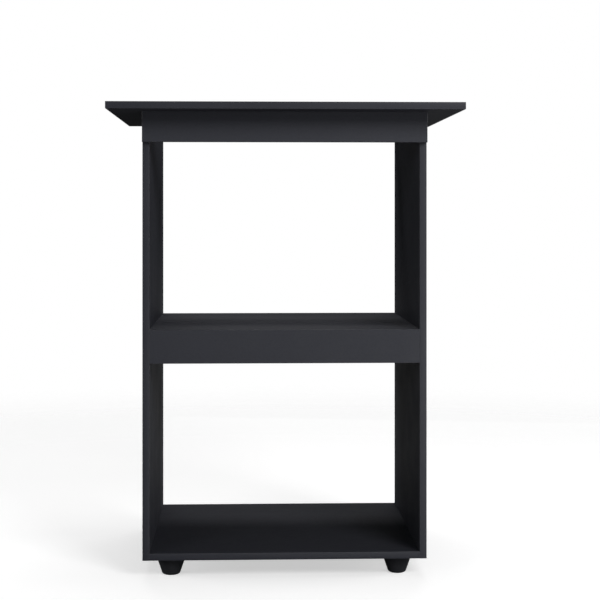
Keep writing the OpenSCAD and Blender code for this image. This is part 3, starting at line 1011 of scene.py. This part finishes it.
# A cam bolt along Z with its head down and its thread up, from 0 to its whole length
def camBoltModel(length):
    look = camBolt
    bevel = look["bevel"]
    head, neck, shank = look["headRadius"], look["neckRadius"], look["shankRadius"]
    root, crest = look["rootRadius"], look["crestRadius"]
    headEnd, neckEnd = look["headLength"], look["neckEnd"]
    collarEnd = length - look["threadLength"]
    collar = collarEnd - look["collarLength"]
    outline = [(0, 0), (head - bevel, 0), (head, bevel), (head, headEnd - bevel), (head - bevel, headEnd),
               (neck, headEnd), (neck, neckEnd), (shank - bevel, neckEnd), (shank, neckEnd + bevel),
               (shank, collar), (head - bevel, collar), (head, collar + bevel), (head, collarEnd - bevel),
               (head - bevel, collarEnd), (root, collarEnd), (root, length - look["tipLength"]),
               (look["tipRadius"], length), (0, length)]
    model = turnOutline("bolt_model", outline, look["turnSteps"])
    ridge = threadRidge(root, crest, look["pitch"], collarEnd + look["threadStart"],
                        length - look["threadStop"])
    cutWith(model, ridge, "UNION")
    smooth(model, look["smoothAngle"])
    return model


footScrew = {
    "headRadius": 4.3 * mm,
    "headHeight": 3 * mm,
    "rootRadius": 1.6 * mm,
    "crestRadius": 2.25 * mm,
    "pitch": 1.8 * mm,
    "plainShank": 14 * mm,
    "shankDrop": 0.2 * mm,           # how much less its radius is than the thread's
    "shankTaper": 1 * mm,
    "tipLength": 4.5 * mm,
    "threadOnTip": 1 * mm,
    "recessWidth": 1.0 * mm,
    "recessLength": 4.8 * mm,
    "recessDepth": 1.9 * mm,
    "recessTaper": 0.7,              # share of the depth
    "arcSteps": 8,
    "turnSteps": 40,
    "smoothAngle": 35,
}


# A round-head screw along Z, its head down at 0 and its tip up at its whole length
def footScrewModel(length):
    look = footScrew
    head, high = look["headRadius"], look["headHeight"]
    root, crest = look["rootRadius"], look["crestRadius"]
    shank = crest - look["shankDrop"]
    shankEnd = high + look["plainShank"]
    tip = length - look["tipLength"]
    outline = [(head * math.sin(a), high - high * math.cos(a)) for a in quarterTurn(look["arcSteps"])]
    outline += [(shank, high), (shank, shankEnd), (root, shankEnd + look["shankTaper"]), (root, tip),
                (0, length)]
    model = turnOutline("screw_model", outline, look["turnSteps"])
    cutWith(model, threadRidge(root, crest, look["pitch"], shankEnd, tip + look["threadOnTip"]), "UNION")
    half = look["recessLength"] / 2
    wide = look["recessWidth"] / 2

    def innerEnd(edge):
        a, b = edge.verts[0].co, edge.verts[1].co
        return min(a.z, b.z) > 0 and abs(a.x - b.x) < tiny

    for turn in (0, 90):
        slot = addBlock((-half, -wide, -mm), (half, wide, look["recessDepth"]))
        bevelEdges(slot, innerEnd, look["recessDepth"] * look["recessTaper"], 1)
        swivel(slot, math.radians(turn))
        cutWith(model, slot)
    smooth(model, look["smoothAngle"])
    return model


dowelShape = {
    "flutes": 20,
    "fluteDepth": 0.25 * mm,
    "bevel": 1 * mm,
    "smoothAngle": 20,
}


# A fluted dowel along Z with its middle at the origin
def dowelModel(radius, length):
    look = dowelShape
    sides = 2 * look["flutes"]
    straight = length / 2 - look["bevel"]
    model = addRound(radius, 2 * straight, sides)

    def everySecond(corner):
        return round(corner.co.xy.angle_signed(Vector((0, 1))) / math.tau * sides) % 2

    startEdit(model, "VERT")
    pick(model, "VERT", everySecond)
    share = (radius - look["fluteDepth"]) / radius
    bpy.ops.transform.resize(value=(share, share, 1), center_override=(0, 0, 0))
    endEdit()
    share = (radius - look["bevel"]) / radius
    for end, facing in ((1, faceUp), (-1, faceDown)):
        startEdit(model, "FACE")
        pick(model, "FACE", facing)
        bpy.ops.mesh.extrude_region_move(TRANSFORM_OT_translate={"value": (0, 0, end * look["bevel"])})
        bpy.ops.transform.resize(value=(share, share, 1), center_override=(0, 0, end * length / 2))
        endEdit()
    smooth(model, look["smoothAngle"])
    return model


axes = (Vector((1, 0, 0)), Vector((0, 1, 0)), Vector((0, 0, 1)))
jointNames = ("worktop", "fascia", "shelf", "base", "rail")


# From the cabinet's middle toward the side where a point lies
def outward(point):
    return axes[0] * math.copysign(1, point.x)


# Which way a joint runs into the other board, and which way its cam lock faces, from where it stands
def jointWays(node, centre):
    side = outward(centre)
    inDepth = axes[1] * -math.copysign(1, centre.y)
    return {
        "worktop": (axes[2], -side),
        "fascia": (-axes[1], -side),
        "shelf": (side, -axes[2]),
        "base": (side, -axes[2]),
        "rail": (side, inDepth),
    }[node.split("_")[0]]


# The nodes that hold one kind of fitting, each with the name of its new piece
def fittingNames(look, kind):
    return {joint + kind: look + joint + kind for joint in jointNames}


# A copy of the model for each solid of each node, put where placeOf says, and then the model goes
def addFittings(names, model, material, slot, placeOf):
    coat(model, material)
    for node, name in names.items():
        places = [placeOf(node, box) for box in solidBoxes(node)]
        finishPiece(copyTo(name, model, places), slot, node)
    bpy.data.objects.remove(model, do_unlink=True)


def addCamLocks(zinc):
    def place(node, box):
        return placed(boxMiddle(box), *jointWays(node, boxMiddle(box)))

    sizes = boxSizes(solidBoxes("worktop_cam_locks")[0])
    names = fittingNames("cast_", "_cam_locks")
    addFittings(names, camLockModel(max(sizes) / 2, min(sizes)), zinc, "cam_zinc", place)
    print("cam locks:", len(names), "groups")


def addCoverCaps(plastic):
    def place(node, box):
        return placed(boxMiddle(box), axes[2], -outward(boxMiddle(box)))

    boxes = solidBoxes("cam_cover_caps")
    sizes = boxSizes(boxes[0])
    names = {"cam_cover_caps": "crowned_cover_caps"}
    addFittings(names, coverCapModel(max(sizes) / 2, min(sizes)), plastic, "cap_plastic", place)
    print("cover caps:", len(boxes))


def addCamBolts(steel):
    length = max(boxSizes(solidBoxes("worktop_cam_bolts")[0]))
    names = fittingNames("threaded_", "_cam_bolts")

    def place(node, box):
        way, mouth = jointWays(node, boxMiddle(box))
        return placed(boxMiddle(box) - way * length / 2, mouth, way)

    addFittings(names, camBoltModel(length), steel, "fitting_steel", place)
    print("cam bolts:", len(names), "groups")


def addFootScrews(steel):
    def place(node, box):
        return Matrix.Translation((boxMiddle(box).x, boxMiddle(box).y, box[0].z))

    boxes = solidBoxes("foot_screws")
    low, high = boxes[0]
    names = {"foot_screws": "threaded_foot_screws"}
    addFittings(names, footScrewModel(high.z - low.z), steel, "fitting_steel", place)
    print("foot screws:", len(boxes))


# A group of dowels may lie along two axes, and each dowel's grain follows its own
def addDowels():
    sizes = boxSizes(solidBoxes("worktop_dowels")[0])
    model = dowelModel(min(sizes) / 2, max(sizes))
    beech = [beechMaterial(i) for i in range(3)]
    names = fittingNames("fluted_", "_dowels")
    for node, name in names.items():
        groups = []
        for i, material in enumerate(beech):
            boxes = [box for box in solidBoxes(node) if boxSizes(box)[i] > 2 * min(boxSizes(box))]
            if boxes:
                coat(model, material)
                places = [placed(boxMiddle(box), axes[(i + 1) % 3], axes[i]) for box in boxes]
                groups.append(copyTo(node, model, places))
        finishPiece(joinPieces(name, groups), "dowel_beech", node)
    bpy.data.objects.remove(model, do_unlink=True)
    print("dowels:", len(names), "groups")


addCamera()
addLights()
addFloor()
setWorld()
bpy.context.scene.view_settings.view_transform = "Standard"
print("camera, lights and floor in place")
coatBoards()
addBands()
addFeet()
steel = steelMaterial()
addFootScrews(steel)
addCamBolts(steel)
addCamLocks(zincMaterial())
addCoverCaps(capMaterial())
addDowels()

deselectAll()
